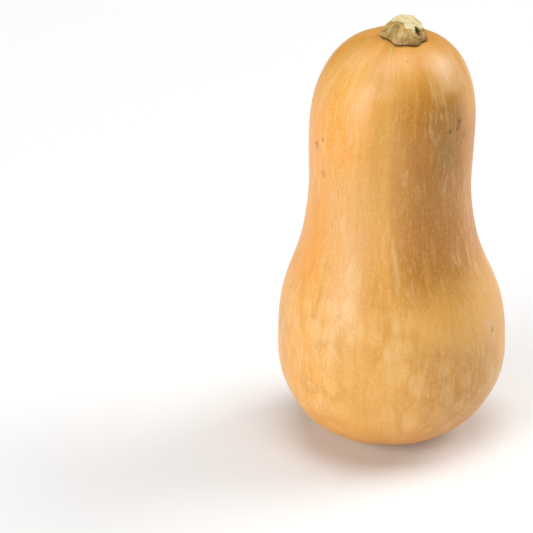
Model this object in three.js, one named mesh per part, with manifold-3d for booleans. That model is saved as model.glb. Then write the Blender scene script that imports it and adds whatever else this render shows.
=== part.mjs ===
// A whole butternut squash, as picked, standing on its blossom end: the tan pear-shaped fruit,
// grown as one piece, and the short corky stub of its stem, cut across with a knife.
// Millimetres, +Z up, -Y towards the viewer. The origin is on the floor, under the fruit.

import * as THREE from "three";
import { mergeVertices } from "three/addons/utils/BufferGeometryUtils.js";
import Module from "manifold-3d";

// Driving dimensions of the fruit.
const FRUIT_HEIGHT = 224.4; // floor to the crown, which carries the stem
const BULB_RADIUS = 59.7;
const NECK_RADIUS = 42.2;
const SHOULDER = { height: 93.3, softness: 10.1, skew: 0.81 }; // where bulb narrows into neck
const WAIST = { height: 141, spread: 15.4, depth: 0.9 }; // the neck's narrowest part
const CROWN = { depth: 52.6, roundness: 2.4, flare: 2.6, flareFrom: 197 };
const FOOT = { depth: 50.2, roundness: 2.2, settled: 1.6 }; // settled: cut off by the floor
const BOW = { foot: -0.4, crown: 0.3, arc: -2.3, wave: 1.0 }; // how far the axis wanders in X

// Ribs are soft lengthwise swellings, strongest at the two ends. Shares are of the radius.
const BROAD_RIBS = { count: 5, share: 0.005, endShare: 0.009, turn: -1.05 }; // turn in radians
const FINE_RIBS = { count: 10, share: 0.002, endShare: 0.004, turn: 0.35 };
const RIB_END_REACH = 34; // how far down from the crown and up from the foot they show

// Broad swellings and hollows: direction and spread in degrees, height, reach and rise in mm.
const SWELLINGS_FROM = 6; // below this height they fade out, so that the foot's edge stays round
const SWELLINGS = [
  { turn: 300, spread: 34, height: 16, reach: 18, rise: -1.7 },
  { turn: 235, spread: 36, height: 16, reach: 18, rise: 0.4 },
  { turn: 20, spread: 34, height: 60, reach: 30, rise: 1.7 },
  { turn: 130, spread: 42, height: 108, reach: 26, rise: 0.7 },
  { turn: 80, spread: 46, height: 178, reach: 24, rise: 0.8 },
];

// The blossom scar is a small dish in the middle of the flat foot, as [radius, height].
const SCAR_MIDDLE = 1.1;
const BLOSSOM_SCAR = [[2.2, 0.7], [4.2, 1.5], [6, 0.9], [7.5, 0]];

// Driving dimensions of the stem stub.
const STEM_BASE = { x: 2.2, y: -3.2, radius: 10.7, height: 224.5 };
const STEM_CUT = { x: 4.3, y: -2.2, radius: 6.9, height: 231.4, tilt: 0.13, lean: -0.08 };
const STEM_STEP = { from: 7.4, to: 9, drop: 1.3 }; // in X, where the cut drops to a lower level
const STEM_ROOT = 216; // the stub is drawn down to here, then trimmed to the crown
const STEM_BULGE = 1.5; // over 1 keeps the stub wide at its base and steep above
const JOINT_GAP = 0.3;

// Each ridge ends in a knob at the base: direction and spread in degrees, rises in mm.
const STEM_RIDGES = [
  { turn: 340, spread: 18, knob: 2.2, ridge: 0.5 },
  { turn: 298, spread: 18, knob: 3.0, ridge: 0.9 },
  { turn: 273, spread: 13, knob: 0.9, ridge: 0.3 },
  { turn: 251, spread: 15, knob: 2.4, ridge: 0.7 },
  { turn: 185, spread: 20, knob: 1.7, ridge: 0.9 },
  { turn: 122, spread: 18, knob: 1.8, ridge: 0.7 },
  { turn: 58, spread: 17, knob: 1.6, ridge: 0.8 },
];

// The pit between two ridges, just under the cut. It is a round-ended hole, given by its half
// outline as shares of its radius and depth, and it opens outwards.
const STEM_PIT = { turn: 322, reach: 9.2, height: 227.9, radius: 1.7, depth: 3.4, segments: 12 };
const PIT_OUTLINE = [[0, -1], [0.7, -0.85], [1, -0.4], [1.25, 1.6], [0, 1.6]];

const FRUIT_SEGMENTS = 60;
const FRUIT_ROWS = 40;
const STEM_SEGMENTS = 48;
const STEM_ROWS = 7;

const radians = THREE.MathUtils.degToRad;

// A bell curve of height 1 at distance 0.
const bell = (distance, spread) => Math.exp(-((distance / spread) ** 2));

// The smallest angle between two directions, in degrees.
const apart = (a, b) => Math.abs(((((a - b) % 360) + 540) % 360) - 180);

// The round closing of an end: 1 on the body, falling to 0 at the tip.
function endRound(distanceFromTip, depth, roundness) {
  const past = THREE.MathUtils.clamp(1 - distanceFromTip / depth, 0, 1);
  return (1 - past ** roundness) ** (1 / roundness);
}

// The fruit's mean radius at a height.
function fruitRadius(height) {
  const narrowed = (1 + Math.exp((height - SHOULDER.height) / SHOULDER.softness)) ** -SHOULDER.skew;
  const flare = Math.max(0, (height - CROWN.flareFrom) / (FRUIT_HEIGHT - CROWN.flareFrom));
  const girth =
    NECK_RADIUS +
    (BULB_RADIUS - NECK_RADIUS) * narrowed -
    WAIST.depth * bell(height - WAIST.height, WAIST.spread) +
    CROWN.flare * flare ** 2;
  return (
    girth *
    endRound(FRUIT_HEIGHT - height, CROWN.depth, CROWN.roundness) *
    endRound(height + FOOT.settled, FOOT.depth, FOOT.roundness)
  );
}

// How far the fruit's axis stands from X = 0 at a height.
function axisX(height) {
  const share = height / FRUIT_HEIGHT;
  return (
    BOW.foot * (1 - share) +
    BOW.crown * share +
    BOW.arc * Math.sin(Math.PI * share) +
    BOW.wave * Math.sin(2 * Math.PI * share)
  );
}

// The share by which ribs swell the radius.
function ribShare(turn, height) {
  const nearEnd = bell(FRUIT_HEIGHT - height, RIB_END_REACH) + bell(height, RIB_END_REACH);
  return [BROAD_RIBS, FINE_RIBS].reduce(
    (sum, ribs) => sum + (ribs.share + ribs.endShare * nearEnd) * Math.cos(ribs.count * turn + ribs.turn),
    0,
  );
}

// The rise of the broad swellings.
function swelling(turn, height) {
  const degrees = THREE.MathUtils.radToDeg(turn);
  return SWELLINGS.reduce(
    (sum, s) => sum + s.rise * bell(apart(degrees, s.turn), s.spread) * bell(height - s.height, s.reach),
    0,
  );
}

// A ring of points round an axis, from a radius and a height for each direction.
function ring(segments, centreX, centreY, radiusAt, heightAt) {
  return Array.from({ length: segments }, (_, i) => {
    const turn = (2 * Math.PI * i) / segments;
    const radius = radiusAt(turn);
    const x = centreX + radius * Math.cos(turn);
    const y = centreY + radius * Math.sin(turn);
    return new THREE.Vector3(x, y, heightAt(x, y));
  });
}

// A closed body from rings stacked upwards and a point that closes each end.
function stackedBody(rings, bottom, top) {
  const segments = rings[0].length;
  const points = [bottom, ...rings.flat(), top];
  const last = points.length - 1;
  const at = (row, i) => 1 + row * segments + (i % segments);
  const triangles = [];
  for (let i = 0; i < segments; i++) {
    triangles.push(0, at(0, i + 1), at(0, i));
    triangles.push(last, at(rings.length - 1, i), at(rings.length - 1, i + 1));
    for (let row = 0; row < rings.length - 1; row++) {
      triangles.push(at(row, i), at(row, i + 1), at(row + 1, i + 1));
      triangles.push(at(row, i), at(row + 1, i + 1), at(row + 1, i));
    }
  }
  const geometry = new THREE.BufferGeometry().setFromPoints(points);
  geometry.setIndex(triangles);
  return geometry;
}

// The fruit: the blossom scar's dish, the flat foot, and the body up to the crown.
function fruitGeometry() {
  const footX = axisX(0);
  const scar = BLOSSOM_SCAR.map(([radius, height]) =>
    ring(FRUIT_SEGMENTS, footX, 0, () => radius, () => height),
  );
  const body = Array.from({ length: FRUIT_ROWS }, (_, row) => {
    const height = (FRUIT_HEIGHT * (1 - Math.cos((Math.PI * row) / FRUIT_ROWS))) / 2;
    const radius = fruitRadius(height);
    const grown = Math.min(1, height / SWELLINGS_FROM);
    const radiusAt = (turn) =>
      radius * (1 + ribShare(turn, height)) + grown * swelling(turn, height);
    return ring(FRUIT_SEGMENTS, axisX(height), 0, radiusAt, () => height);
  });
  const bottom = new THREE.Vector3(footX, 0, SCAR_MIDDLE);
  const top = new THREE.Vector3(axisX(FRUIT_HEIGHT), 0, FRUIT_HEIGHT);
  return stackedBody([...scar, ...body], bottom, top);
}

// The height of the knife cut over a point.
function cutHeight(x, y) {
  return (
    STEM_CUT.height +
    STEM_CUT.tilt * (y - STEM_CUT.y) +
    STEM_CUT.lean * (x - STEM_CUT.x) -
    STEM_STEP.drop * THREE.MathUtils.smoothstep(x, STEM_STEP.from, STEM_STEP.to)
  );
}

// The stub before it is trimmed: knobbed at the base, ridged above, and cut across.
function stemBlank() {
  const rings = Array.from({ length: STEM_ROWS + 2 }, (_, row) => {
    const up = Math.max(0, row - 1) / STEM_ROWS;
    const drawnIn = up ** STEM_BULGE;
    const from = row === 0 ? STEM_ROOT : STEM_BASE.height;
    const radiusAt = (turn) => {
      const degrees = THREE.MathUtils.radToDeg(turn);
      const mean = THREE.MathUtils.lerp(STEM_BASE.radius, STEM_CUT.radius, drawnIn);
      return STEM_RIDGES.reduce(
        (sum, r) =>
          sum + THREE.MathUtils.lerp(r.knob, r.ridge, drawnIn) * bell(apart(degrees, r.turn), r.spread),
        mean,
      );
    };
    const heightAt = (x, y) => THREE.MathUtils.lerp(from, cutHeight(x, y), up);
    const centreX = THREE.MathUtils.lerp(STEM_BASE.x, STEM_CUT.x, drawnIn);
    const centreY = THREE.MathUtils.lerp(STEM_BASE.y, STEM_CUT.y, drawnIn);
    return ring(STEM_SEGMENTS, centreX, centreY, radiusAt, heightAt);
  });
  const bottom = new THREE.Vector3(STEM_BASE.x, STEM_BASE.y, STEM_ROOT);
  const top = new THREE.Vector3(STEM_CUT.x, STEM_CUT.y, cutHeight(STEM_CUT.x, STEM_CUT.y));
  return stackedBody(rings, bottom, top);
}

// A short round-ended plug that hollows out the pit, pointing at the stub's axis.
function pitGeometry() {
  const profile = PIT_OUTLINE.map(
    ([across, along]) => new THREE.Vector2(across * STEM_PIT.radius, along * STEM_PIT.depth),
  );
  const geometry = new THREE.LatheGeometry(profile, STEM_PIT.segments);
  const turn = radians(STEM_PIT.turn);
  geometry.rotateZ(-Math.PI / 2);
  geometry.rotateZ(turn);
  geometry.translate(
    STEM_BASE.x + STEM_PIT.reach * Math.cos(turn),
    STEM_BASE.y + STEM_PIT.reach * Math.sin(turn),
    STEM_PIT.height,
  );
  return geometry;
}

const wasm = await Module();
wasm.setup();

// A three.js geometry as a solid that can be cut.
function solidFrom(geometry) {
  const bare = geometry.clone();
  bare.deleteAttribute("normal");
  bare.deleteAttribute("uv");
  const merged = mergeVertices(bare, 1e-4);
  return new wasm.Manifold(
    new wasm.Mesh({
      numProp: 3,
      vertProperties: merged.attributes.position.array,
      triVerts: new Uint32Array(merged.index.array),
    }),
  );
}

// A cut solid as a three.js geometry.
function geometryFrom(solid) {
  const mesh = solid.getMesh();
  const geometry = new THREE.BufferGeometry();
  geometry.setAttribute("position", new THREE.BufferAttribute(mesh.vertProperties, 3));
  geometry.setIndex(new THREE.BufferAttribute(mesh.triVerts, 1));
  geometry.computeVertexNormals();
  return geometry;
}

// The stub, trimmed to sit a hair above the crown, with its pit.
function stemGeometry(fruit) {
  const crown = fruit.clone().translate(0, 0, JOINT_GAP);
  const trimmed = solidFrom(stemBlank()).subtract(solidFrom(crown));
  return geometryFrom(trimmed.subtract(solidFrom(pitGeometry())));
}

const rind = new THREE.MeshStandardMaterial({ color: "#e3a85f", roughness: 0.45, metalness: 0 });
const cork = new THREE.MeshStandardMaterial({ color: "#c2a468", roughness: 0.85, metalness: 0 });

const fruit = fruitGeometry();
fruit.computeVertexNormals();

const fruitMesh = new THREE.Mesh(fruit, rind);
fruitMesh.name = "squash_fruit";
const stemMesh = new THREE.Mesh(stemGeometry(fruit), cork);
stemMesh.name = "stem_stub";

const squash = new THREE.Group();
squash.name = "butternut_squash";
squash.add(fruitMesh, stemMesh);

export default squash;
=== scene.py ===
"""A whole butternut squash standing on its blossom end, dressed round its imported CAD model.

The fruit is one grown piece: a long neck over a round bulb, with soft lengthwise ribs, thin green
veins that run down from the stem, and the blossom scar underneath. A corky stub of the stem stands
on the crown, cut across with a knife. Lengths are in metres, written as millimetres times MM.
"""

import logging
import math
from dataclasses import dataclass, field
from enum import Enum
from typing import Any

import bpy
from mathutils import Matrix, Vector, noise


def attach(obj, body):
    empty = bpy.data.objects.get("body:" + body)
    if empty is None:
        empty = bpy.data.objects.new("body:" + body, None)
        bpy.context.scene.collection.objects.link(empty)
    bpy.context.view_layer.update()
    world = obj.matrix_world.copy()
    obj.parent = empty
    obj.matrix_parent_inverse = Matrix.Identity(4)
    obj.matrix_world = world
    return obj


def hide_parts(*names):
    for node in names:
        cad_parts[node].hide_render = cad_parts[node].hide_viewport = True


Socket = bpy.types.NodeSocket
Tree = bpy.types.NodeTree
Piece = bpy.types.Object
Inputs = dict[int | str, Any]

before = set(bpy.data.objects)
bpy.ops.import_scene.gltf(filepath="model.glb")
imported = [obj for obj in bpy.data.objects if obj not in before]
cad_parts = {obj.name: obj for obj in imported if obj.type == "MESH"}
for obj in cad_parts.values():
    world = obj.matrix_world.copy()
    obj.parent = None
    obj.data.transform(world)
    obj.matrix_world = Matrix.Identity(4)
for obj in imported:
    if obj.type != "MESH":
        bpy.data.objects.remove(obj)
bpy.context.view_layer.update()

log = logging.getLogger("squash")

MM = 0.001
BODY = "root"
STRAIGHT = "straight"
STEM_PLACE = (2.2 * MM, -3.2 * MM)
FLATTEN = (1, 1, 0)
HALVINGS = 24
NEARLY_ALL = 0.999

# An edge gives where a mask starts, where it is full, and how strong it is then.
Edge = tuple[float, float, float]


def bell(distance: float, spread: float) -> float:
    """A bell curve of height 1 at distance 0."""
    return math.exp(-((distance / spread) ** 2))


def apart(a: float, b: float) -> float:
    """The smallest angle between two turns, in degrees."""
    return abs((a - b + 180) % 360 - 180)


def step_up(low: float, high: float, value: float) -> float:
    """A smooth step from 0 at low to 1 at high."""
    share = min(1.0, max(0.0, (value - low) / (high - low)))
    return share * share * (3 - 2 * share)


def between(start: float, end: float, share: float) -> float:
    """The value a share of the way from start to end."""
    return start + (end - start) * share


def end_round(from_tip: float, depth: float, roundness: float) -> float:
    """The round closing of an end: 1 on the body, falling to 0 at the tip."""
    past = min(1.0, max(0.0, 1 - from_tip / depth))
    return (1 - past**roundness) ** (1 / roundness)


def linear(code: str) -> tuple[float, float, float, float]:
    """Turns an sRGB hex colour into the linear colour that shaders take.

    Args:
        code: the colour, such as "#e3a85f".

    Returns:
        Red, green, blue and an alpha of 1, in linear light.
    """
    parts = [int(code[i : i + 2], 16) / 255 for i in (1, 3, 5)]
    red, green, blue = (p / 12.92 if p <= 0.04045 else ((p + 0.055) / 1.055) ** 2.4 for p in parts)
    return (red, green, blue, 1.0)


def add_node(
    tree: Tree, kind: str, inputs: Inputs | None = None, output: int | str = 0, **settings: Any
) -> Socket:
    """Adds one shader node with its settings, values and links.

    Args:
        tree: the material's node tree.
        kind: the node's type, without the word ShaderNode.
        inputs: by socket, either a value or the socket that feeds it.
        output: the output socket to return.
        **settings: the node's own properties.

    Returns:
        The chosen output socket.
    """
    node = tree.nodes.new("ShaderNode" + kind)
    for name, value in settings.items():
        setattr(node, name, value)
    for socket, value in (inputs or {}).items():
        if isinstance(value, Socket):
            tree.links.new(value, node.inputs[socket])
        else:
            node.inputs[socket].default_value = value
    return node.outputs[output]


class MixSocket:
    """The sockets of a colour Mix node."""

    FACTOR = 0
    A = 6
    B = 7
    RESULT = 2


@dataclass(frozen=True)
class Where:
    """Where a layer shows, by one measure: not at low, at its top strength at high, eased between.

    If low is the larger of the two, the strength falls as the measure grows.
    """

    measure: Socket
    low: float
    high: float
    top: float = 1.0


def mask(tree: Tree, *wheres: Where | Socket) -> Socket:
    """A mask that shows where all of several things hold.

    Args:
        tree: the material's node tree.
        *wheres: the things, each by its own measure or as a mask already.

    Returns:
        The product of their strengths.
    """
    product = None
    for where in wheres:
        strength = where
        if isinstance(where, Where):
            falls = where.high < where.low
            inputs = {
                "Value": where.measure,
                "From Min": min(where.low, where.high),
                "From Max": max(where.low, where.high),
                "To Min": where.top if falls else 0.0,
                "To Max": 0.0 if falls else where.top,
            }
            strength = add_node(tree, "MapRange", inputs, interpolation_type="SMOOTHSTEP")
        if product is not None:
            strength = add_node(tree, "Math", {0: product, 1: strength}, operation="MULTIPLY")
        product = strength
    return product


def layer(tree: Tree, under: Socket | str, over: Socket | str, *wheres: Where | Socket) -> Socket:
    """Lays one colour over another, where all of several things hold.

    Args:
        tree: the material's node tree.
        under: the colour below, as a socket or in hex.
        over: the colour laid on top, as a socket or in hex.
        *wheres: where the colour on top shows.

    Returns:
        The mixed colour.
    """
    below, above = (linear(colour) if isinstance(colour, str) else colour for colour in (under, over))
    sockets = {MixSocket.FACTOR: mask(tree, *wheres), MixSocket.A: below, MixSocket.B: above}
    return add_node(tree, "Mix", sockets, MixSocket.RESULT, data_type="RGBA")


def blots(where: Socket, width: float, detail: float = 2.0) -> Inputs:
    """The inputs of a noise, about 0.5 in the mean, whose blots are about a width across.

    Args:
        where: the place that it is read at.
        width: how wide a blot is, in metres.
        detail: how many finer noises are laid over it.

    Returns:
        The noise node's inputs.
    """
    return {"Vector": where, "Scale": 1 / (2 * width), "Detail": detail}


def drawn_out(value: Socket, low: float, high: float) -> Inputs:
    """The inputs of a range node that draws the middle of a noise out to run from low to high."""
    return {"Value": value, "From Min": 0.3, "From Max": 0.7, "To Min": low, "To Max": high}


def new_material(name: str) -> tuple[bpy.types.Material, Tree]:
    """Makes an empty node material.

    Args:
        name: the material's name.

    Returns:
        The material and its node tree.
    """
    material = bpy.data.materials.new(name)
    material.use_nodes = True
    material.node_tree.nodes.clear()
    return material, material.node_tree


def make_surface(tree: Tree, inputs: Inputs) -> None:
    """Ends a material's tree in a surface shader, joined to the output.

    Args:
        tree: the material's node tree.
        inputs: the shader's values, and the sockets that feed it.
    """
    shader = add_node(tree, "BsdfPrincipled", inputs, "BSDF")
    output = tree.nodes.new("ShaderNodeOutputMaterial")
    tree.links.new(shader, output.inputs["Surface"])


def select_nothing() -> None:
    """Leaves edit mode and deselects all, so that the next operator acts on its own piece alone."""
    if bpy.context.mode != "OBJECT":
        bpy.ops.object.mode_set(mode="OBJECT")
    bpy.ops.object.select_all(action="DESELECT")


def turned_piece(name: str, segments: int, rings: list[tuple[float, float]]) -> Piece:
    """A closed round piece, drawn out ring by ring from the middle of its lowest face.

    Args:
        name: the piece's name.
        segments: how many points a ring has.
        rings: the radius and height of each ring, in order, from near the axis back to the axis.

    Returns:
        The piece, with its first and last rings closed at their middles.
    """
    select_nothing()
    radius, height = rings[0]
    bpy.ops.mesh.primitive_circle_add(
        vertices=segments, radius=radius, fill_type="TRIFAN", location=(0, 0, height)
    )
    piece = bpy.context.active_object
    piece.name = name
    piece.data.name = name
    bpy.ops.object.transform_apply(location=True, rotation=True, scale=True)
    bpy.ops.object.mode_set(mode="EDIT")
    bpy.ops.mesh.select_mode(type="EDGE")
    bpy.ops.mesh.select_all(action="DESELECT")
    bpy.ops.mesh.select_non_manifold()
    for next_radius, next_height in rings[1:]:
        bpy.ops.mesh.extrude_edges_move(TRANSFORM_OT_translate={"value": (0, 0, next_height - height)})
        share = next_radius / radius
        bpy.ops.transform.resize(value=(share, share, 1), center_override=(0, 0, next_height))
        radius, height = next_radius, next_height
    bpy.ops.mesh.extrude_edges_move(TRANSFORM_OT_translate={"value": (0, 0, 0)})
    bpy.ops.mesh.merge(type="CENTER")
    bpy.ops.mesh.select_all(action="SELECT")
    bpy.ops.mesh.normals_make_consistent(inside=False)
    bpy.ops.object.mode_set(mode="OBJECT")
    return piece


def subdivided(piece: Piece, levels: int) -> None:
    """Rounds a piece with a subdivision surface, applied, and shades it smooth.

    Args:
        piece: the piece.
        levels: how many times each face is divided.
    """
    select_nothing()
    piece.select_set(True)
    bpy.context.view_layer.objects.active = piece
    modifier = piece.modifiers.new("Round", "SUBSURF")
    modifier.levels = levels
    modifier.render_levels = levels
    bpy.ops.object.modifier_apply(modifier=modifier.name)
    bpy.ops.object.shade_smooth()


def add_attribute(piece: Piece, name: str, values: list[float]) -> None:
    """Stores one number a point on a piece, for its material to read."""
    attribute = piece.data.attributes.new(name, "FLOAT", "POINT")
    attribute.data.foreach_set("value", values)


@dataclass(frozen=True)
class Shoulder:
    """Where the bulb narrows into the neck."""

    height: float = 93.3 * MM
    softness: float = 10.1 * MM
    skew: float = 0.81


@dataclass(frozen=True)
class Waist:
    """The neck's narrowest part."""

    height: float = 141 * MM
    spread: float = 15.4 * MM
    depth: float = 0.9 * MM


@dataclass(frozen=True)
class Crown:
    """The round upper end, which carries the stem."""

    depth: float = 52.6 * MM
    roundness: float = 2.4
    flare: float = 2.6 * MM
    flare_from: float = 197 * MM


@dataclass(frozen=True)
class Foot:
    """The round lower end, settled a little flat on what it stands on."""

    depth: float = 50.2 * MM
    roundness: float = 2.2
    settled: float = 1.6 * MM


@dataclass(frozen=True)
class Bow:
    """How far the fruit's axis wanders sideways."""

    foot: float = -0.4 * MM
    crown: float = 0.3 * MM
    arc: float = -2.3 * MM
    wave: float = 1.0 * MM


@dataclass(frozen=True)
class Ribs:
    """One set of soft lengthwise swellings, strongest at the two ends. Shares are of the radius."""

    count: int
    share: float
    end_share: float
    turn: float
    end_reach: float = 34 * MM

    def swell(self, turn: float, height: float, top: float) -> float:
        """The share by which they swell the radius, at a turn in radians, under a top height."""
        near_end = bell(top - height, self.end_reach) + bell(height, self.end_reach)
        return (self.share + self.end_share * near_end) * math.cos(self.count * turn + self.turn)


@dataclass(frozen=True)
class Swelling:
    """A broad rise or hollow of the rind: direction and spread in degrees, the rest in metres."""

    turn: float
    spread: float
    height: float
    reach: float
    rise: float


SWELLINGS = (
    Swelling(turn=300, spread=34, height=16 * MM, reach=18 * MM, rise=-1.7 * MM),
    Swelling(turn=235, spread=36, height=16 * MM, reach=18 * MM, rise=0.4 * MM),
    Swelling(turn=20, spread=34, height=60 * MM, reach=30 * MM, rise=1.7 * MM),
    Swelling(turn=130, spread=42, height=108 * MM, reach=26 * MM, rise=0.7 * MM),
    Swelling(turn=80, spread=46, height=178 * MM, reach=24 * MM, rise=0.8 * MM),
)


@dataclass(frozen=True)
class Spot:
    """Where the shaded point is on the fruit, measured round the fruit's own bowed axis."""

    tree: Tree
    place: Socket
    straight: Socket
    turn: Socket
    reach: Socket
    height: Socket

    @classmethod
    def on(cls, tree: Tree) -> "Spot":
        """Reads the place from the piece's own straightened coordinates.

        Args:
            tree: the material's node tree.

        Returns:
            The place.
        """
        straight = add_node(tree, "Attribute", output="Vector", attribute_name=STRAIGHT)
        flat = add_node(tree, "VectorMath", {0: straight, 1: FLATTEN}, operation="MULTIPLY")
        x = add_node(tree, "SeparateXYZ", {0: flat})
        return cls(
            tree,
            add_node(tree, "TexCoord", output="Object"),
            straight,
            add_node(tree, "Math", {0: x.node.outputs["Y"], 1: x}, operation="ARCTAN2"),
            add_node(tree, "VectorMath", {0: flat}, "Value", operation="LENGTH"),
            add_node(tree, "SeparateXYZ", {0: straight}, "Z"),
        )


@dataclass(frozen=True)
class Grain:
    """The rind's lengthwise grain: the shaded point wrapped round the fruit."""

    spot: Spot
    around: Socket
    radius: float

    def noise(self, width: float, stretch: float, detail: float = 2.0) -> Socket:
        """A noise drawn out along the grain.

        Args:
            width: how wide a blot is, in metres.
            stretch: how many times longer than wide it is.
            detail: how many finer noises are laid over it.

        Returns:
            The noise.
        """
        tree = self.spot.tree
        squeezed = {0: self.spot.straight, 1: (0, 0, 1 / stretch)}
        along = add_node(tree, "VectorMath", squeezed, operation="MULTIPLY")
        sockets = {0: self.around, 1: (self.radius,) * 3, 2: along}
        wrapped = add_node(tree, "VectorMath", sockets, operation="MULTIPLY_ADD")
        return add_node(tree, "TexNoise", blots(wrapped, width, detail))


@dataclass(frozen=True)
class Band:
    """A lengthwise streak or zone of colour on the rind, along one meridian.

    left and right are how far it reaches to each side, and the soft values how far it then fades.
    low and high are the heights it runs between, and fade how far past them it thins out.
    """

    turn: float
    left: float
    right: float
    soft_left: float
    soft_right: float
    low: float
    high: float
    fade: float
    colour: str
    strength: float

    def paint(self, spot: Spot, wobble: Socket, under: Socket) -> Socket:
        """Lays the band over a colour.

        Args:
            spot: where the shaded point is on the fruit.
            wobble: a small sideways wander, in metres.
            under: the colour below.

        Returns:
            The mixed colour.
        """
        tree = spot.tree
        off = add_node(tree, "Math", {0: spot.turn, 1: math.radians(self.turn)}, operation="SUBTRACT")
        off = add_node(tree, "Math", {0: off, 1: math.pi, 2: -math.pi}, operation="WRAP")
        side = add_node(tree, "Math", {0: off, 1: spot.reach, 2: wobble}, operation="MULTIPLY_ADD")
        return layer(
            tree,
            under,
            self.colour,
            Where(side, -self.left - self.soft_left, -self.left),
            Where(side, self.right + self.soft_right, self.right),
            Where(spot.height, self.low - self.fade, self.low),
            Where(spot.height, self.high + self.fade, self.high, self.strength),
        )


def line(
    turn: float, width: float, low: float, high: float, fade: float, colour: str, strength: float
) -> Band:
    """A narrow band such as a vein, soft to both sides of its meridian.

    Args:
        turn: its direction in degrees.
        width: how wide it is, with its soft sides.
        low: its lowest point.
        high: its highest point.
        fade: how far past them it thins out.
        colour: its colour in hex.
        strength: how strong it is.

    Returns:
        The band.
    """
    side = width / 2
    core = side * 0.2
    return Band(turn, core, core, side, side, low, high, fade, colour, strength)


@dataclass(frozen=True)
class Mark:
    """A small scuff, speck or bruise: its direction in degrees, and its height and size in metres."""

    turn: float
    height: float
    size: float
    colour: str
    strength: float


VEIN_GREEN = "#a9a23e"
SCUFF_BROWN = "#4e2c08"
SPECK_RED = "#a8602c"
WORN_PINK = "#dcb294"
BRUISE_OLIVE = "#9a6f2c"
# Painted shade for the shaded side of the neck and bulb.
PAINTED_NECK_SHADE = "#ab6a16"
# A deeper orange: partly the rind's ripeness, partly a painted reflection of orange light.
RIPE_AND_REFLECTED_ORANGE = "#f09a2c"
# Painted shade for the neck's right rim.
PAINTED_RIM_SHADE = "#c4781a"
OLIVE_TAN = "#c4944a"
PALE_TAN = "#dfb27c"
# Painted highlight for the crown.
PAINTED_HIGHLIGHT = "#f3cfa0"
PALE_SCRATCH = "#f8dfb8"


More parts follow.
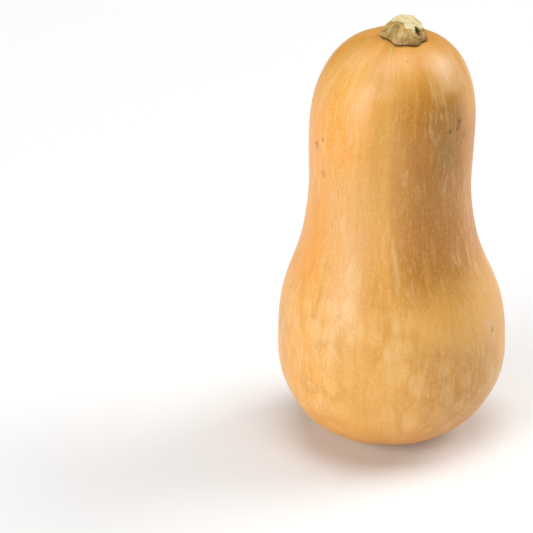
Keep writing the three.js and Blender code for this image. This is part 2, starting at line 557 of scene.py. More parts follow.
@dataclass(frozen=True)
class RindFinish:
    """Ripe butternut rind: a smooth waxy skin with lengthwise streaks, pale dashes and mottling.

    The wax gives a soft satin sheen, and the fine streaks break it up along the fruit. Some zones
    lay painted shade, painted highlights and a painted orange reflection into the colour.
    """

    pale: str = "#ebad56"
    tan: str = "#e2a045"
    deep: str = "#d39038"
    bulb: str = "#efba69"
    patch: str = "#f0c278"
    lane: str = "#d3943f"
    dash: str = "#f2ca93"
    # Painted shade for the crown round the stem.
    painted_stem_shade: str = "#d28f42"
    scar: str = "#8d6a3e"
    ior: float = 1.45
    smoothest: float = 0.32
    roughest: float = 0.43
    relief_strength: float = 0.3
    relief_depth: float = 0.2 * MM
    dimple_width: float = 0.7 * MM

    wrap_radius: float = 50 * MM
    sway: float = 3.5 * MM
    sway_width: float = 14 * MM
    wander: float = 0.9 * MM
    wander_width: float = 3 * MM

    band_width: float = 11 * MM
    band_stretch: float = 7
    band_edge: Edge = (0.36, 0.64, 1.0)
    mottle_width: float = 24 * MM
    mottle_edge: Edge = (0.48, 0.72, 0.5)

    bulb_heights: tuple[float, float] = (118 * MM, 80 * MM)
    bulb_strength: float = 0.4
    patch_width: float = 9 * MM
    patch_bend: tuple[float, float, float] = (8 * MM, 8 * MM, 10 * MM)
    patch_squeeze: tuple[float, float, float] = (1, 1, 0.7)
    patch_softness: float = 0.35
    patch_edge: Edge = (0.5, 0.25, 0.45)
    lane_edge: Edge = (0.48, 0.66, 0.45)
    patchy_edge: Edge = (0.4, 0.54, 1.0)

    streak_width: float = 1.3 * MM
    streak_stretch: float = 9
    pale_streak_edge: Edge = (0.5, 0.7, 0.35)
    deep_streak_edge: Edge = (0.5, 0.32, 0.25)
    dash_widths: tuple[float, ...] = (0.9 * MM, 2.2 * MM)
    dash_stretch: float = 4
    dash_edge: Edge = (0.5, 0.76, 0.4)
    dashed_width: float = 12 * MM
    dashed_stretch: float = 3
    dashed_edge: Edge = (0.42, 0.6, 1.0)
    cell_width: float = 0.5 * MM
    cell_stretch: float = 1.6
    pale_cell_edge: Edge = (0.52, 0.7, 0.22)
    deep_cell_edge: Edge = (0.48, 0.32, 0.22)
    lenticel_pitch: float = 2.6 * MM
    lenticel_edge: Edge = (0.17, 0.08, 0.2)

    # Where painted shade lies round the stem, and where the orange deepens towards the foot.
    painted_stem_shade_edge: Edge = (34 * MM, 12 * MM, 0.26)
    foot_edge: Edge = (48 * MM, 8 * MM, 0.45)
    grit_width: float = 0.3 * MM
    grit_stretch: float = 1.8
    grit_edge: Edge = (0.4, 0.58, 1.0)
    mark_core: float = 0.25
    scar_radii: tuple[float, float] = (8.5 * MM, 5 * MM)
    scar_heights: tuple[float, float] = (6 * MM, 2 * MM)

    # Each zone: its turn, reach to the left and right, how far it fades to the left and right,
    # its lowest and highest point, how far it fades past them, its colour and its strength.
    zones: tuple[Band, ...] = (
        # Painted shade over the neck's shaded side.
        Band(302, 10 * MM, 12 * MM, 20 * MM, 16 * MM, 112 * MM, 188 * MM, 34 * MM, PAINTED_NECK_SHADE, 0.72),
        # Painted shade: the soft edge of the neck's shaded side.
        Band(280, 7 * MM, 4 * MM, 5 * MM, 14 * MM, 105 * MM, 196 * MM, 20 * MM, PAINTED_NECK_SHADE, 0.26),
        # A deeper orange left side: partly ripeness, partly a painted reflection of orange light.
        Band(208, 16 * MM, 14 * MM, 18 * MM, 22 * MM, 30 * MM, 180 * MM, 30 * MM, RIPE_AND_REFLECTED_ORANGE, 0.62),
        # Painted reflection of orange light on the bulb's left edge.
        Band(196, 20 * MM, 9 * MM, 8 * MM, 10 * MM, 44 * MM, 100 * MM, 24 * MM, RIPE_AND_REFLECTED_ORANGE, 0.7),
        # Painted shade: deeper amber damps the pale sheen along the right rim.
        Band(338, 8 * MM, 26 * MM, 9 * MM, 12 * MM, 112 * MM, 176 * MM, 18 * MM, PAINTED_RIM_SHADE, 0.58),
        Band(262, 4 * MM, 6 * MM, 5 * MM, 5 * MM, 150 * MM, 186 * MM, 20 * MM, OLIVE_TAN, 0.3),
        Band(235, 8 * MM, 8 * MM, 12 * MM, 12 * MM, 76 * MM, 150 * MM, 30 * MM, PALE_TAN, 0.45),
        # Painted shade over the bulb's shaded right side.
        Band(314, 18 * MM, 18 * MM, 16 * MM, 16 * MM, 20 * MM, 56 * MM, 24 * MM, PAINTED_NECK_SHADE, 0.6),
        Band(309, 5 * MM, 5 * MM, 7 * MM, 7 * MM, 168 * MM, 194 * MM, 12 * MM, BRUISE_OLIVE, 0.45),
        # Painted highlights on the crown.
        Band(325, 8 * MM, 7 * MM, 9 * MM, 7 * MM, 206 * MM, 214 * MM, 6 * MM, PAINTED_HIGHLIGHT, 0.38),
        Band(253, 4 * MM, 4 * MM, 7 * MM, 6 * MM, 205 * MM, 214 * MM, 6 * MM, PAINTED_HIGHLIGHT, 0.26),
        Band(220, 4 * MM, 3 * MM, 6 * MM, 5 * MM, 214 * MM, 218 * MM, 4 * MM, PAINTED_HIGHLIGHT, 0.24),
    )
    # Each vein: its turn, width, lowest and highest point, fade, colour and strength.
    veins: tuple[Band, ...] = (
        line(196, 2.4 * MM, 219 * MM, 224 * MM, 8 * MM, VEIN_GREEN, 0.32),
        line(260, 1.3 * MM, 221.5 * MM, 224 * MM, 2.5 * MM, VEIN_GREEN, 0.5),
        line(346, 2.0 * MM, 222 * MM, 224 * MM, 3 * MM, VEIN_GREEN, 0.25),
        line(124, 1.8 * MM, 216 * MM, 224 * MM, 8 * MM, VEIN_GREEN, 0.32),
        line(56, 1.8 * MM, 219 * MM, 224 * MM, 5 * MM, VEIN_GREEN, 0.28),
        line(314.5, 0.9 * MM, 208 * MM, 215 * MM, 4 * MM, PALE_SCRATCH, 0.35),
    )
    # Each mark: its turn, height, size, colour and strength.
    marks: tuple[Mark, ...] = (
        Mark(320.0, 187.4 * MM, 2.2 * MM, SCUFF_BROWN, 0.9),
        Mark(318.5, 184.7 * MM, 2.4 * MM, SCUFF_BROWN, 0.85),
        Mark(310.0, 184.2 * MM, 1.8 * MM, SCUFF_BROWN, 0.9),
        Mark(326.0, 178.7 * MM, 2.6 * MM, SCUFF_BROWN, 0.6),
        Mark(203.5, 170.2 * MM, 3.4 * MM, SCUFF_BROWN, 0.7),
        Mark(212.5, 175.5 * MM, 1.6 * MM, SCUFF_BROWN, 0.6),
        Mark(214.5, 157.4 * MM, 3.0 * MM, SCUFF_BROWN, 0.45),
        Mark(303.0, 196.5 * MM, 1.4 * MM, SCUFF_BROWN, 0.7),
        Mark(277.5, 218.4 * MM, 0.9 * MM, SPECK_RED, 0.9),
        Mark(333.0, 70.4 * MM, 2.4 * MM, SPECK_RED, 0.9),
        Mark(330.5, 75.0 * MM, 5.0 * MM, WORN_PINK, 0.6),
    )

    def build(self, fruit: "Fruit") -> bpy.types.Material:
        """Builds the rind's material.

        Args:
            fruit: the fruit that it covers, which says where its marks lie.

        Returns:
            The material.
        """
        material, tree = new_material("butternut_rind")
        spot = Spot.on(tree)
        grain = self.grain(spot)
        wander = add_node(tree, "TexNoise", blots(spot.place, self.wander_width))
        wobble = add_node(tree, "MapRange", drawn_out(wander, -self.wander, self.wander))
        streaks = grain.noise(self.streak_width, self.streak_stretch, 4.0)

        colour = self.ground(grain)
        # Most zones are painted light: shade on the neck and bulb, highlights on the crown, reflected orange
        # on the left.
        for zone in self.zones:
            colour = zone.paint(spot, wobble, colour)
        colour = self.patched(spot, colour)
        colour = self.streaked(grain, streaks, colour)
        # Painted shade round the stem; deeper orange towards the foot.
        colour = self.stem_shade_and_deeper_foot(spot, fruit, colour)
        for vein in self.veins:
            colour = vein.paint(spot, wobble, colour)
        colour = self.marked(grain, fruit, colour)

        dimples = add_node(tree, "TexNoise", blots(spot.place, self.dimple_width))
        relief = add_node(tree, "Math", {0: streaks, 1: dimples}, operation="ADD")
        bump = {"Height": relief, "Strength": self.relief_strength, "Distance": self.relief_depth}
        gloss = drawn_out(streaks, self.smoothest, self.roughest)
        make_surface(
            tree,
            {
                "Base Color": colour,
                "Roughness": add_node(tree, "MapRange", gloss),
                "Normal": add_node(tree, "Bump", bump, "Normal"),
                "IOR": self.ior,
            },
        )
        return material

    def grain(self, spot: Spot) -> Grain:
        """Wraps the place round the fruit, with a little sway from side to side.

        Args:
            spot: where the shaded point is on the fruit.

        Returns:
            The rind's grain.
        """
        tree = spot.tree
        drift = add_node(tree, "TexNoise", blots(spot.place, self.sway_width), "Color")
        sockets = {0: drift, 1: (self.sway, self.sway, 0), 2: spot.straight}
        swayed = add_node(tree, "VectorMath", sockets, operation="MULTIPLY_ADD")
        flat = add_node(tree, "VectorMath", {0: swayed, 1: FLATTEN}, operation="MULTIPLY")
        around = add_node(tree, "VectorMath", {0: flat}, operation="NORMALIZE")
        return Grain(spot, around, self.wrap_radius)

    def ground(self, grain: Grain) -> Socket:
        """The rind's ground colour: broad lengthwise bands and a slow mottle.

        Args:
            grain: the rind's grain.

        Returns:
            The colour.
        """
        spot = grain.spot
        bands = grain.noise(self.band_width, self.band_stretch, 3.0)
        colour = layer(spot.tree, self.tan, self.pale, Where(bands, *self.band_edge))
        mottle = add_node(spot.tree, "TexNoise", blots(spot.place, self.mottle_width, 4.0))
        return layer(spot.tree, colour, self.deep, Where(mottle, *self.mottle_edge))

    def patched(self, spot: Spot, colour: Socket) -> Socket:
        """Covers the bulb with pale patches, and thin darker lanes between them.

        Args:
            spot: where the shaded point is on the fruit.
            colour: the colour below.

        Returns:
            The mixed colour.
        """
        tree = spot.tree
        warp = add_node(tree, "TexNoise", blots(spot.place, self.patch_width, 1.0), "Color")
        sockets = {0: warp, 1: self.patch_bend, 2: spot.place}
        bent = add_node(tree, "VectorMath", sockets, operation="MULTIPLY_ADD")
        bent = add_node(tree, "Mapping", {"Vector": bent, "Scale": self.patch_squeeze})
        cells = {"Vector": bent, "Scale": 1 / self.patch_width, "Smoothness": self.patch_softness}
        cells = add_node(tree, "TexVoronoi", cells, "Distance", feature="SMOOTH_F1")
        patchy = add_node(tree, "TexNoise", blots(spot.place, self.mottle_width))
        here = mask(tree, Where(spot.height, *self.bulb_heights), Where(patchy, *self.patchy_edge))
        on_bulb = Where(spot.height, *self.bulb_heights, self.bulb_strength)
        colour = layer(tree, colour, self.bulb, on_bulb)
        colour = layer(tree, colour, self.patch, Where(cells, *self.patch_edge), here)
        return layer(tree, colour, self.lane, Where(cells, *self.lane_edge), here)

    def streaked(self, grain: Grain, streaks: Socket, colour: Socket) -> Socket:
        """Adds the fine lengthwise streaks, the pale dashes, the skin's cells and its lenticels.

        Args:
            grain: the rind's grain.
            streaks: the noise of the streaks.
            colour: the colour below.

        Returns:
            The mixed colour.
        """
        tree = grain.spot.tree
        colour = layer(tree, colour, self.pale, Where(streaks, *self.pale_streak_edge))
        colour = layer(tree, colour, self.deep, Where(streaks, *self.deep_streak_edge))
        dashed = Where(grain.noise(self.dashed_width, self.dashed_stretch), *self.dashed_edge)
        for width in self.dash_widths:
            dashes = Where(grain.noise(width, self.dash_stretch), *self.dash_edge)
            colour = layer(tree, colour, self.dash, dashes, dashed)
        cells = grain.noise(self.cell_width, self.cell_stretch)
        colour = layer(tree, colour, self.dash, Where(cells, *self.pale_cell_edge))
        colour = layer(tree, colour, self.deep, Where(cells, *self.deep_cell_edge))
        # Lenticels are pale specks, each a dot at random in its own small cell.
        scattered = {"Vector": grain.spot.place, "Scale": 1 / self.lenticel_pitch, "Randomness": 1.0}
        lenticels = add_node(tree, "TexVoronoi", scattered, "Distance")
        return layer(tree, colour, self.dash, Where(lenticels, *self.lenticel_edge))

    def stem_shade_and_deeper_foot(self, spot: Spot, fruit: "Fruit", colour: Socket) -> Socket:
        """Lays painted shade on the crown round the stem, and deepens the orange towards the foot.

        Args:
            spot: where the shaded point is on the fruit.
            fruit: the fruit, which says where its stem is.
            colour: the colour below.

        Returns:
            The mixed colour.
        """
        tree = spot.tree
        ends = {0: spot.place, 1: fruit.stem_seat()}
        from_stem = add_node(tree, "VectorMath", ends, "Value", operation="DISTANCE")
        colour = layer(tree, colour, self.painted_stem_shade, Where(from_stem, *self.painted_stem_shade_edge))
        return layer(tree, colour, self.deep, Where(spot.height, *self.foot_edge))

    def marked(self, grain: Grain, fruit: "Fruit", colour: Socket) -> Socket:
        """Places the scuffs and specks one by one, and the blossom scar underneath.

        Args:
            grain: the rind's grain.
            fruit: the fruit, which says where each place is.
            colour: the colour below.

        Returns:
            The mixed colour.
        """
        spot, tree = grain.spot, grain.spot.tree
        gritty = Where(grain.noise(self.grit_width, self.grit_stretch, 3.0), *self.grit_edge)
        for mark in self.marks:
            ends = {0: spot.place, 1: fruit.point(mark.turn, mark.height)}
            away = add_node(tree, "VectorMath", ends, "Value", operation="DISTANCE")
            near = Where(away, mark.size, mark.size * self.mark_core, mark.strength)
            colour = layer(tree, colour, mark.colour, near, gritty)
        in_scar = Where(spot.reach, *self.scar_radii)
        return layer(tree, colour, self.scar, in_scar, Where(spot.height, *self.scar_heights))


@dataclass
class Fruit:
    """The fruit, from the blossom scar under its foot up to the crown."""

    height: float = 224.4 * MM
    bulb_radius: float = 59.7 * MM
    neck_radius: float = 42.2 * MM
    shoulder: Shoulder = Shoulder()
    waist: Waist = Waist()
    crown: Crown = Crown()
    foot: Foot = Foot()
    bow: Bow = Bow()
    ribs: tuple[Ribs, ...] = (
        Ribs(count=5, share=0.005, end_share=0.009, turn=-1.05),
        Ribs(count=10, share=0.002, end_share=0.004, turn=0.35),
    )
    swellings: tuple[Swelling, ...] = SWELLINGS
    scar: tuple[tuple[float, float], ...] = (
        (2.2 * MM, 0.7 * MM),
        (4.2 * MM, 1.5 * MM),
        (6.0 * MM, 0.9 * MM),
        (7.5 * MM, 0.0),
    )
    scar_share: float = 0.9
    scar_top: float = 3 * MM
    swollen_from: float = 6 * MM
    segments: int = 120
    rows: int = 84
    finish: RindFinish = RindFinish()

    def radius(self, height: float) -> float:
        """The fruit's mean radius at a height.

        Args:
            height: the height above the floor.

        Returns:
            The radius.
        """
        narrowed = (
            1 + math.exp((height - self.shoulder.height) / self.shoulder.softness)
        ) ** -self.shoulder.skew
        flare = max(0.0, (height - self.crown.flare_from) / (self.height - self.crown.flare_from))
        girth = (
            self.neck_radius
            + (self.bulb_radius - self.neck_radius) * narrowed
            - self.waist.depth * bell(height - self.waist.height, self.waist.spread)
            + self.crown.flare * flare**2
        )
        upper = end_round(self.height - height, self.crown.depth, self.crown.roundness)
        lower = end_round(height + self.foot.settled, self.foot.depth, self.foot.roundness)
        return girth * upper * lower

    def axis_x(self, height: float) -> float:
        """How far the fruit's axis stands from X = 0 at a height."""
        share = height / self.height
        return (
            self.bow.foot * (1 - share)
            + self.bow.crown * share
            + self.bow.arc * math.sin(math.pi * share)
            + self.bow.wave * math.sin(2 * math.pi * share)
        )

    def swelling(self, turn: float, height: float) -> float:
        """The rise of the broad swellings, at a turn in radians."""
        degrees = math.degrees(turn)
        return sum(
            s.rise * bell(apart(degrees, s.turn), s.spread) * bell(height - s.height, s.reach)
            for s in self.swellings
        )

    def grown_radius(self, radius: float, turn: float, height: float) -> float:
        """A round ring's radius with its ribs and swellings.

        Args:
            radius: the ring's own radius.
            turn: the turn in radians.
            height: the height above the floor.

        Returns:
            The grown radius.
        """
        grown = min(1.0, height / self.swollen_from)
        swell = sum(ribs.swell(turn, height, self.height) for ribs in self.ribs)
        return radius * (1 + swell) + grown * self.swelling(turn, height)

    def point(self, turn: float, height: float) -> Vector:
        """A point of the rind.

        Args:
            turn: the turn in degrees.
            height: the height above the floor.

        Returns:
            The point.
        """
        angle = math.radians(turn)
        reach = self.grown_radius(self.radius(height), angle, height)
        return Vector((self.axis_x(height) + reach * math.cos(angle), reach * math.sin(angle), height))

    def stem_seat(self) -> Vector:
        """The point of the crown that the stem stands over."""
        x, y = STEM_PLACE
        return Vector((x, y, self.height))

    def crown_height(self, x: float, y: float) -> float:
        """The height of the crown's surface over a point near the stem, by halving.

        Args:
            x: the point's X.
            y: the point's Y.

        Returns:
            The height.
        """
        low, high = self.height - self.crown.depth, self.height
        for _ in range(HALVINGS):
            middle = (low + high) / 2
            dx = x - self.axis_x(middle)
            reach = self.grown_radius(self.radius(middle), math.atan2(y, dx), middle)
            if math.hypot(dx, y) > reach:
                high = middle
            else:
                low = middle
        return (low + high) / 2

    def build(self) -> Piece:
        """Draws the fruit out ring by ring, then gives it ribs, swellings and its bow.

        Returns:
            The finished fruit, in place of its plain CAD solid.
        """
        heights = [self.height * (1 - math.cos(math.pi * row / self.rows)) / 2 for row in range(self.rows)]
        body = [(self.radius(height), height) for height in heights]
        piece = turned_piece("fruit_skin", self.segments, [*self.scar, *body])
        flat_edge = body[0][0]
        for vertex in piece.data.vertices:
            x, y, z = vertex.co
            radius = math.hypot(x, y)
            angle = math.atan2(y, x)
            in_scar = radius < flat_edge * self.scar_share and z < self.scar_top
            reach = radius if in_scar else self.grown_radius(radius, angle, z)
            shift = self.axis_x(0 if in_scar else z)
            vertex.co = (shift + reach * math.cos(angle), reach * math.sin(angle), z)
        subdivided(piece, 1)
        attribute = piece.data.attributes.new(STRAIGHT, "FLOAT_VECTOR", "POINT")
        for vertex, value in zip(piece.data.vertices, attribute.data):
            value.vector = vertex.co - Vector((self.axis_x(vertex.co.z), 0, 0))
        piece.data.materials.append(self.finish.build(self))
        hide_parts("squash_fruit")
        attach(piece, BODY)
        return piece


@dataclass(frozen=True)
class StemRidge:
    """A ridge of the stem that ends in a knob at its base: angles in degrees, rises in metres."""

    turn: float
    spread: float
    knob: float
    ridge: float


@dataclass(frozen=True)
class StemPit:
    """The small hole between two ridges, under the cut."""

    turn: float = 323.5
    height: float = 228.2 * MM
    radius: float = 2.3 * MM
    depth: float = 2.6 * MM
    mouth_rise: float = 0.55
    core: float = 0.5
    full_within: float = 1.5
    gone_past: float = 2.5
    uneven: float = 0.35
    uneven_width: float = 1.3 * MM


class StemFace(Enum):
    """The two end faces of the stub."""

    UNDER = "under"
    CUT = "cut"


class Note(Enum):
    """What is noted on each point of the stub, for its finish to read."""

    RISE = "rise"
    HOLLOW = "hollow"
    KNOB = "knob"
    CUT = "cut"
    PIT = "pit"


@dataclass(frozen=True)
class CorkFinish:
    """Dry cork: the stem's hard skin, ridged and fibrous, with a fresh pale cut on top.

    The skin is matt, with pale fibres over ochre and pinkish worn knobs. Painted shade darkens the
    hollows between its ridges, its foot and its low right side, and painted shadow fills the pit.
    """

    ochre: str = "#b88d4a"
    fibre: str = "#cdb47a"
    olive: str = "#77662f"
    knob: str = "#bd9076"
    # Knob colour on the stub's right side, darker.
    right_knob: str = "#8c6444"
    # Dark brown: between the fibres, and painted shade where the stub meets the crown.
    shade: str = "#4a2c0c"
    # Painted shade low on the stub's right side.
    painted_low_shade: str = "#6e4c16"
    # Painted shadow laid into the pit.
    hole: str = "#2c2410"
    cut: str = "#e2d2a4"
    cut_deep: str = "#cfbc84"
    crack: str = "#a3a05a"
    ior: float = 1.45
    roughness: float = 0.85
    relief_strength: float = 0.5
    relief_depth: float = 0.3 * MM

    wrap_radius: float = 9 * MM
    bend: float = 2.5 * MM
    bend_width: float = 2 * MM
    squeeze: float = 0.3
    fibre_width: float = 0.55 * MM
    fibre_edge: Edge = (0.46, 0.66, 1.0)
    between_fibres_edge: Edge = (0.46, 0.3, 0.45)
    blotch_width: float = 2.2 * MM
    blotch_edge: Edge = (0.48, 0.66, 0.75)

    knob_edge: Edge = (0.66, 0.46, 0.85)
    darker_knobs: tuple[float, float] = (-1 * MM, 3 * MM)
    bare_width: float = 1.1 * MM
    bare_edge: Edge = (0.5, 0.62, 0.8)
    bare_side: tuple[float, float] = (4 * MM, 0.0)
    painted_hollow_shade_edge: Edge = (0.25, 0.9, 0.5)
    painted_low_shade_edge: Edge = (0.45, 0.1, 0.5)
    painted_low_shade_side: tuple[float, float] = (-2 * MM, 4 * MM)
    painted_seat_shade_edge: Edge = (0.2, 0.05, 0.95)
    painted_pit_shadow_edge: Edge = (0.25, 0.8, 0.85)

    tone_width: float = 1.6 * MM
    tone_edge: Edge = (0.45, 0.7, 1.0)
    crack_width: float = 4 * MM
    crack_edge: Edge = (0.022, 0.004, 0.7)
    cracked_edge: Edge = (0.36, 0.56, 1.0)
    ragged: float = 1.5
    rim_edge: Edge = (0.3, 0.62, 1.0)

    def build(self, centre: Vector) -> bpy.types.Material:
        """Builds the stub's material.

        Args:
            centre: a point on the stub's axis.

        Returns:
            The material.
        """
        material, tree = new_material("stem_cork")
        place = add_node(tree, "TexCoord", output="Object")
        moved = add_node(tree, "VectorMath", {0: place, 1: centre}, operation="SUBTRACT")
        noted = {note: add_node(tree, "Attribute", output="Fac", attribute_name=note.value) for note in Note}
        fibres = self.fibres(tree, moved)
        blotches = add_node(tree, "TexNoise", blots(moved, self.blotch_width, 3.0))
        tone = add_node(tree, "TexNoise", blots(moved, self.tone_width, 3.0))
        cracks = self.cracks(tree, moved, tone)

        skin = self.skin(tree, moved, noted, fibres, blotches)
        cut = layer(tree, self.cut, self.cut_deep, Where(tone, *self.tone_edge))
        cut = layer(tree, cut, self.crack, cracks)
        # The blotches make the edge between skin and cut ragged.
        rim = add_node(tree, "Math", {0: blotches, 1: 0.5}, operation="SUBTRACT")
        rim = add_node(tree, "Math", {0: rim, 1: self.ragged, 2: noted[Note.CUT]}, operation="MULTIPLY_ADD")
        colour = layer(tree, skin, cut, Where(rim, *self.rim_edge))
        # Painted shadow fills the pit.
        colour = layer(tree, colour, self.hole, Where(noted[Note.PIT], *self.painted_pit_shadow_edge))

        relief = add_node(tree, "Math", {0: fibres, 1: cracks}, operation="SUBTRACT")
        bump = {"Height": relief, "Strength": self.relief_strength, "Distance": self.relief_depth}
        make_surface(
            tree,
            {
                "Base Color": colour,
                "Roughness": self.roughness,
                "Normal": add_node(tree, "Bump", bump, "Normal"),
                "IOR": self.ior,
            },
        )
        return material

    def fibres(self, tree: Tree, moved: Socket) -> Socket:
        """A noise of fine fibres that run up the stub and bend a little.

        Args:
            tree: the material's node tree.
            moved: the place, measured from the stub's axis.

        Returns:
            The noise.
        """
        warp = add_node(tree, "TexNoise", blots(moved, self.bend_width, 1.0), "Color")
        sockets = {0: warp, 1: (self.bend,) * 3, 2: moved}
        bent = add_node(tree, "VectorMath", sockets, operation="MULTIPLY_ADD")
        flat = add_node(tree, "VectorMath", {0: bent, 1: FLATTEN}, operation="MULTIPLY")
        around = add_node(tree, "VectorMath", {0: flat}, operation="NORMALIZE")
        along = add_node(tree, "VectorMath", {0: bent, 1: (0, 0, self.squeeze)}, operation="MULTIPLY")
        sockets = {0: around, 1: (self.wrap_radius,) * 3, 2: along}
        wrapped = add_node(tree, "VectorMath", sockets, operation="MULTIPLY_ADD")
        return add_node(tree, "TexNoise", blots(wrapped, self.fibre_width, 3.0))

    def cracks(self, tree: Tree, moved: Socket, tone: Socket) -> Socket:
        """A mask of the cut's thin cracks, which run where a slow noise crosses its middle value.

        Args:
            tree: the material's node tree.
            moved: the place, measured from the stub's axis.
            tone: the noise of the cut's tone, which breaks the cracks up.

        Returns:
            The mask.
        """
        slow = add_node(tree, "TexNoise", blots(moved, self.crack_width, 1.5))
        off_middle = add_node(tree, "Math", {0: slow, 1: 0.5}, operation="SUBTRACT")
        off_middle = add_node(tree, "Math", {0: off_middle}, operation="ABSOLUTE")
        return mask(tree, Where(off_middle, *self.crack_edge), Where(tone, *self.cracked_edge))

    def skin(
        self, tree: Tree, moved: Socket, noted: dict[Note, Socket], fibres: Socket, blotches: Socket
    ) -> Socket:
        """The colour of the stub's sides.

        Args:
            tree: the material's node tree.
            moved: the place, measured from the stub's axis.
            noted: what is noted on the stub's points.
            fibres: the noise of its fibres.
            blotches: the noise of its blotches.

        Returns:
            The colour.
        """
        rise, knob = noted[Note.RISE], noted[Note.KNOB]
        to_right = add_node(tree, "SeparateXYZ", {0: moved}, "X")
        bare = add_node(tree, "TexNoise", blots(moved, self.bare_width))
        # The knobs are darker towards the right.
        knobs = layer(tree, self.knob, self.right_knob, Where(to_right, *self.darker_knobs))
        colour = layer(tree, self.ochre, self.fibre, Where(fibres, *self.fibre_edge))
        colour = layer(tree, colour, self.shade, Where(fibres, *self.between_fibres_edge))
        colour = layer(tree, colour, self.olive, Where(blotches, *self.blotch_edge))
        colour = layer(tree, colour, knobs, knob, Where(blotches, *self.knob_edge))
        worn_through = Where(bare, *self.bare_edge)
        colour = layer(tree, colour, self.fibre, knob, worn_through, Where(to_right, *self.bare_side))
        # Painted shade in the hollows between the ridges.
        colour = layer(tree, colour, self.olive, Where(noted[Note.HOLLOW], *self.painted_hollow_shade_edge))
        # Painted shade low on the stub's right side.
        low_down = Where(rise, *self.painted_low_shade_edge)
        colour = layer(tree, colour, self.painted_low_shade, low_down, Where(to_right, *self.painted_low_shade_side))
        # Painted shade where the stub meets the crown.
        return layer(tree, colour, self.shade, Where(rise, *self.painted_seat_shade_edge))


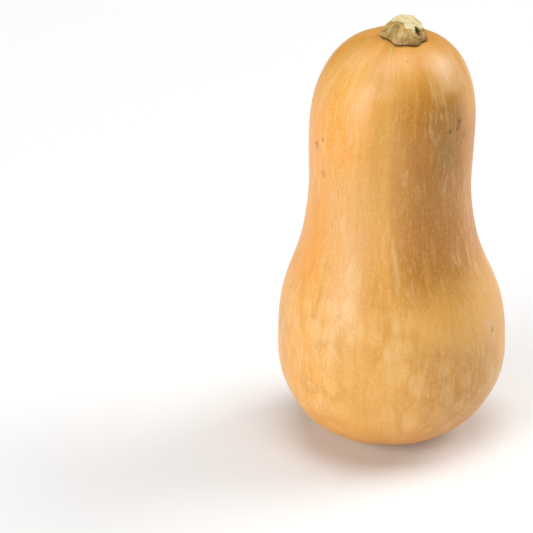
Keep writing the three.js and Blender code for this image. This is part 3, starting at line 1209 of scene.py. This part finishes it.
@dataclass
class StemStub:
    """The stub of the stem: knobbed at the base, ridged above, and cut across on a slant."""

    fruit: Fruit
    base_x: float = STEM_PLACE[0]
    base_y: float = STEM_PLACE[1]
    base_radius: float = 10.7 * MM
    cut_x: float = 4.3 * MM
    cut_y: float = -2.2 * MM
    cut_radius: float = 6.9 * MM
    cut_height: float = 231.4 * MM
    cut_tilt: float = 0.13
    cut_lean: float = -0.08
    step_from: float = 7.4 * MM
    step_to: float = 9 * MM
    step_drop: float = 1.3 * MM
    bulge: float = 1.5
    tuck: float = 0.08
    tuck_rise: float = 0.16
    seat_gap: float = 0.12 * MM
    ridges: tuple[StemRidge, ...] = (
        StemRidge(340, 18, 2.2 * MM, 0.5 * MM),
        StemRidge(298, 18, 3.0 * MM, 0.9 * MM),
        StemRidge(273, 13, 0.9 * MM, 0.3 * MM),
        StemRidge(251, 15, 2.4 * MM, 0.7 * MM),
        StemRidge(185, 20, 1.7 * MM, 0.9 * MM),
        StemRidge(122, 18, 1.8 * MM, 0.7 * MM),
        StemRidge(58, 17, 1.6 * MM, 0.8 * MM),
    )
    pit: StemPit = StemPit()
    # The pale cut runs down the side in one tongue, and is worn away along one edge.
    tongue_turn: float = 288
    tongue_spread: float = 12
    tongue_rise: tuple[float, float] = (0.45, 0.9)
    tongue_strength: float = 0.75
    worn_turn: float = 220
    worn_spread: float = 34
    worn_share: tuple[float, float] = (0.25, 0.62)
    cut_from: float = 0.87
    knob_rise: float = 0.22
    knob_spread: float = 0.2
    hollow_gain: float = 1.6
    # The cork's own unevenness: broad lumps, and fine ones drawn out up the stub.
    lump_width: float = 3.2 * MM
    lump_depth: float = 0.35 * MM
    fine_width: float = 1.1 * MM
    fine_depth: float = 0.18 * MM
    fine_squeeze: float = 0.35
    rough_rise: float = 0.15
    segments: int = 96
    side_rows: int = 14
    face_rows: int = 7
    seed: Vector = field(default_factory=lambda: Vector((3.1, 7.7, 1.9)))
    finish: CorkFinish = CorkFinish()

    def cut_level(self, x: float, y: float) -> float:
        """The height of the knife cut over a point."""
        slanted = self.cut_height + self.cut_tilt * (y - self.cut_y) + self.cut_lean * (x - self.cut_x)
        return slanted - self.step_drop * step_up(self.step_from, self.step_to, x)

    def side_radius(self, degrees: float, up: float) -> float:
        """The stub's radius in a direction.

        Args:
            degrees: the direction.
            up: how far up its side, as a share.

        Returns:
            The radius.
        """
        drawn_in = up**self.bulge
        mean = between(self.base_radius, self.cut_radius, drawn_in)
        tucked = 1 - self.tuck * (1 - step_up(0, self.tuck_rise, up))
        ridges = sum(
            between(r.knob, r.ridge, drawn_in) * bell(apart(degrees, r.turn), r.spread) for r in self.ridges
        )
        return (mean + ridges) * tucked

    def side_point(self, degrees: float, up: float) -> Vector:
        """A point of the side, from the rind at 0 to the cut's edge at 1.

        Args:
            degrees: the direction.
            up: how far up its side, as a share.

        Returns:
            The point.
        """
        angle = math.radians(degrees)
        radius = self.side_radius(degrees, up)
        drawn_in = up**self.bulge
        x = between(self.base_x, self.cut_x, drawn_in) + radius * math.cos(angle)
        y = between(self.base_y, self.cut_y, drawn_in) + radius * math.sin(angle)
        foot = self.fruit.crown_height(x, y) + self.seat_gap
        return Vector((x, y, between(foot, self.cut_level(x, y), up)))

    def face_point(self, degrees: float, share: float, face: StemFace) -> Vector:
        """A point of the cut or of the underside.

        Args:
            degrees: the direction.
            share: how far out from the middle, as a share.
            face: which of the two.

        Returns:
            The point.
        """
        if face is StemFace.CUT:
            edge = self.side_point(degrees, 1)
            x = between(self.cut_x, edge.x, share)
            y = between(self.cut_y, edge.y, share)
            return Vector((x, y, self.cut_level(x, y)))
        edge = self.side_point(degrees, 0)
        x = between(self.base_x, edge.x, share)
        y = between(self.base_y, edge.y, share)
        return Vector((x, y, self.fruit.crown_height(x, y) + self.seat_gap))

    def roughened(self, point: Vector, up: float) -> Vector:
        """A point moved by the cork's own unevenness.

        Args:
            point: the point.
            up: how far up its side, as a share.

        Returns:
            The moved point.
        """
        lumps = self.lump_depth * noise.noise(point / self.lump_width + self.seed)
        drawn = Vector((point.x, point.y, point.z * self.fine_squeeze)) / self.fine_width
        fine = self.fine_depth * noise.noise(drawn + self.seed)
        free = step_up(0.0, self.rough_rise, up)
        out = Vector((point.x - self.cut_x, point.y - self.cut_y, 0)).normalized()
        return point + out * free * (lumps + fine)

    def build(self) -> Piece:
        """Draws the stub out as a plain round, then shapes its knobs, ridges, cut and pit.

        Returns:
            The finished stub, in place of its plain CAD solid.
        """
        under = [((row + 1) / self.face_rows, 0.0) for row in range(self.face_rows - 1)]
        side = [(1.0, row / self.side_rows) for row in range(self.side_rows + 1)]
        over = [(share, 1.0) for share, _ in reversed(under)]
        piece = turned_piece("stem_cork_stub", self.segments, [*under, *side, *over])
        # On the plain round, each point's radius and height say how far out and up it is.
        places = []
        for vertex in piece.data.vertices:
            x, y, up = vertex.co
            places.append((math.hypot(x, y), math.degrees(math.atan2(y, x)), up))
        for vertex, (share, degrees, up) in zip(piece.data.vertices, places):
            if share > NEARLY_ALL:
                vertex.co = self.side_point(degrees, up)
            else:
                face = StemFace.CUT if round(up) else StemFace.UNDER
                vertex.co = self.face_point(degrees, share, face)
        self.note_surfaces(piece, places)
        subdivided(piece, 2)
        self.carve(piece)
        centre = Vector((self.base_x, self.base_y, self.cut_height))
        piece.data.materials.append(self.finish.build(centre))
        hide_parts("stem_stub")
        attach(piece, BODY)
        return piece

    def note_surfaces(self, piece: Piece, places: list[tuple[float, float, float]]) -> None:
        """Notes on the piece how high each point is, and where the knobs, hollows and cut are.

        Args:
            piece: the stub before it is rounded.
            places: each point's share of the way out, turn in degrees and share of the way up.
        """
        knobs, hollows, cuts = [], [], []
        for share, degrees, up in places:
            ridge = max(bell(apart(degrees, r.turn), r.spread) for r in self.ridges)
            worn = bell(apart(degrees, self.worn_turn), self.worn_spread)
            worn *= step_up(*self.worn_share, share)
            knobs.append(ridge * bell(up - self.knob_rise, self.knob_spread))
            if share > NEARLY_ALL:
                tongue = bell(apart(degrees, self.tongue_turn), self.tongue_spread)
                tongue *= self.tongue_strength * step_up(*self.tongue_rise, up)
                hollows.append(max(0.0, 1 - ridge * self.hollow_gain))
                cuts.append(max(tongue, step_up(self.cut_from, 1.0, up) * (1 - worn)))
            else:
                hollows.append(0.0)
                cuts.append(round(up) * (1 - worn))
        add_attribute(piece, Note.RISE.value, [up for _, _, up in places])
        add_attribute(piece, Note.KNOB.value, knobs)
        add_attribute(piece, Note.HOLLOW.value, hollows)
        add_attribute(piece, Note.CUT.value, cuts)

    def carve(self, piece: Piece) -> None:
        """Roughens the cork and hollows out the pit.

        Args:
            piece: the rounded stub.
        """
        pit = self.pit
        turn = math.radians(pit.turn)
        reach = self.side_radius(pit.turn, pit.mouth_rise)
        x, y = self.base_x + reach * math.cos(turn), self.base_y + reach * math.sin(turn)
        mouth = Vector((x, y, pit.height))
        inward = Vector((-math.cos(turn), -math.sin(turn), 0))
        rises = [value.value for value in piece.data.attributes[Note.RISE.value].data]
        depths = []
        for vertex, up in zip(piece.data.vertices, rises):
            point = vertex.co.copy()
            offset = point - mouth
            uneven = 1 + pit.uneven * noise.noise(point / pit.uneven_width + self.seed)
            away = (offset - inward * offset.dot(inward)).length * uneven
            in_pit = 1 - step_up(pit.radius * pit.core, pit.radius, away)
            in_pit *= 1 - step_up(pit.radius * pit.full_within, pit.radius * pit.gone_past, offset.length)
            vertex.co = self.roughened(point, up) + inward * pit.depth * in_pit
            depths.append(in_pit)
        add_attribute(piece, Note.PIT.value, depths)


@dataclass(frozen=True)
class Softbox:
    """One studio softbox, placed round the squash: angles in degrees, the rest in metres and watts."""

    name: str
    azimuth: float
    elevation: float
    distance: float
    width: float
    height: float
    power: float
    colour: str = "#ffffff"

    def build(self, target: Vector) -> Piece:
        """Hangs the softbox facing its target.

        Args:
            target: the point it faces.

        Returns:
            The light.
        """
        turn, rise = math.radians(self.azimuth), math.radians(self.elevation)
        away = Vector((math.sin(turn) * math.cos(rise), -math.cos(turn) * math.cos(rise), math.sin(rise)))
        light = bpy.data.lights.new(self.name, "AREA")
        light.shape = "RECTANGLE"
        light.size = self.width
        light.size_y = self.height
        light.energy = self.power
        light.color = linear(self.colour)[:3]
        box = bpy.data.objects.new(self.name, light)
        box.location = target + away * self.distance
        box.rotation_euler = away.to_track_quat("Z", "Y").to_euler()
        bpy.context.scene.collection.objects.link(box)
        return box


@dataclass
class Studio:
    """The pale floor, the softboxes and the camera."""

    aim: Vector = field(default_factory=lambda: Vector((-66.3 * MM, 0, 93.9 * MM)))
    camera_distance: float = 1.4
    camera_elevation: float = 26
    lens: float = 180.9
    sensor: float = 36
    sight: float = 20
    floor_size: float = 6
    floor_colour: str = "#efefef"
    floor_roughness: float = 0.9
    floor_glow: float = 0.08
    sky: float = 0.04
    room: float = 0.88
    lit_height: float = 110 * MM
    softboxes: tuple[Softbox, ...] = (
        Softbox("softbox_left", azimuth=-50, elevation=18, distance=4.4, width=2.4, height=2.8, power=137),
        Softbox("softbox_right", azimuth=112, elevation=37, distance=4.4, width=2.8, height=2.8, power=117),
        Softbox("softbox_top", azimuth=0, elevation=88, distance=4.8, width=3.6, height=3.6, power=155),
    )

    def build(self) -> None:
        """Lays the floor, hangs the lights and sets up the camera."""
        self.lay_floor()
        self.hang_lights()
        self.set_camera()

    def lay_floor(self) -> None:
        """A wide white floor that the squash stands on."""
        select_nothing()
        bpy.ops.mesh.primitive_plane_add(size=self.floor_size, location=(0, 0, 0))
        floor = bpy.context.active_object
        floor.name = "studio_floor"
        material, tree = new_material("white_paper_sweep")
        # White paper lit from beneath a little, as a light table is.
        sockets = {
            "Base Color": linear(self.floor_colour),
            "Roughness": self.floor_roughness,
            "Emission Color": linear(self.floor_colour),
            "Emission Strength": self.floor_glow,
        }
        make_surface(tree, sockets)
        floor.data.materials.append(material)

    def hang_lights(self) -> None:
        """The softboxes and an even white surround."""
        middle = Vector((0, 0, self.lit_height))
        for softbox in self.softboxes:
            softbox.build(middle)
        world = bpy.data.worlds.new("white_room")
        world.use_nodes = True
        background = world.node_tree.nodes["Background"]
        background.inputs["Color"].default_value = (1, 1, 1, 1)
        # Past the floor's edge the room shows as pale as the floor, but it lights the squash faintly.
        seen = add_node(world.node_tree, "LightPath", output="Is Camera Ray")
        strength = {"Value": seen, "To Min": self.sky, "To Max": self.room}
        strength = add_node(world.node_tree, "MapRange", strength)
        world.node_tree.links.new(strength, background.inputs["Strength"])
        bpy.context.scene.world = world

    def set_camera(self) -> None:
        """The camera looks down on the squash from the front, as the photograph does."""
        camera = bpy.data.cameras.new("camera")
        camera.lens = self.lens
        camera.sensor_width = self.sensor
        camera.clip_end = self.sight
        holder = bpy.data.objects.new("camera", camera)
        rise = math.radians(self.camera_elevation)
        holder.location = self.aim + Vector((0, -math.cos(rise), math.sin(rise))) * self.camera_distance
        holder.rotation_euler = (math.radians(90) - rise, 0, 0)
        bpy.context.scene.collection.objects.link(holder)
        bpy.context.scene.camera = holder
        bpy.context.scene.view_settings.view_transform = "Standard"


def main() -> None:
    """Builds the squash and its studio, in order."""
    logging.basicConfig(level=logging.INFO, format="%(message)s")
    fruit = Fruit()
    piece = fruit.build()
    log.info("%s: %d faces", piece.name, len(piece.data.polygons))
    piece = StemStub(fruit).build()
    log.info("%s: %d faces", piece.name, len(piece.data.polygons))
    Studio().build()


if __name__ == "__main__":
    main()
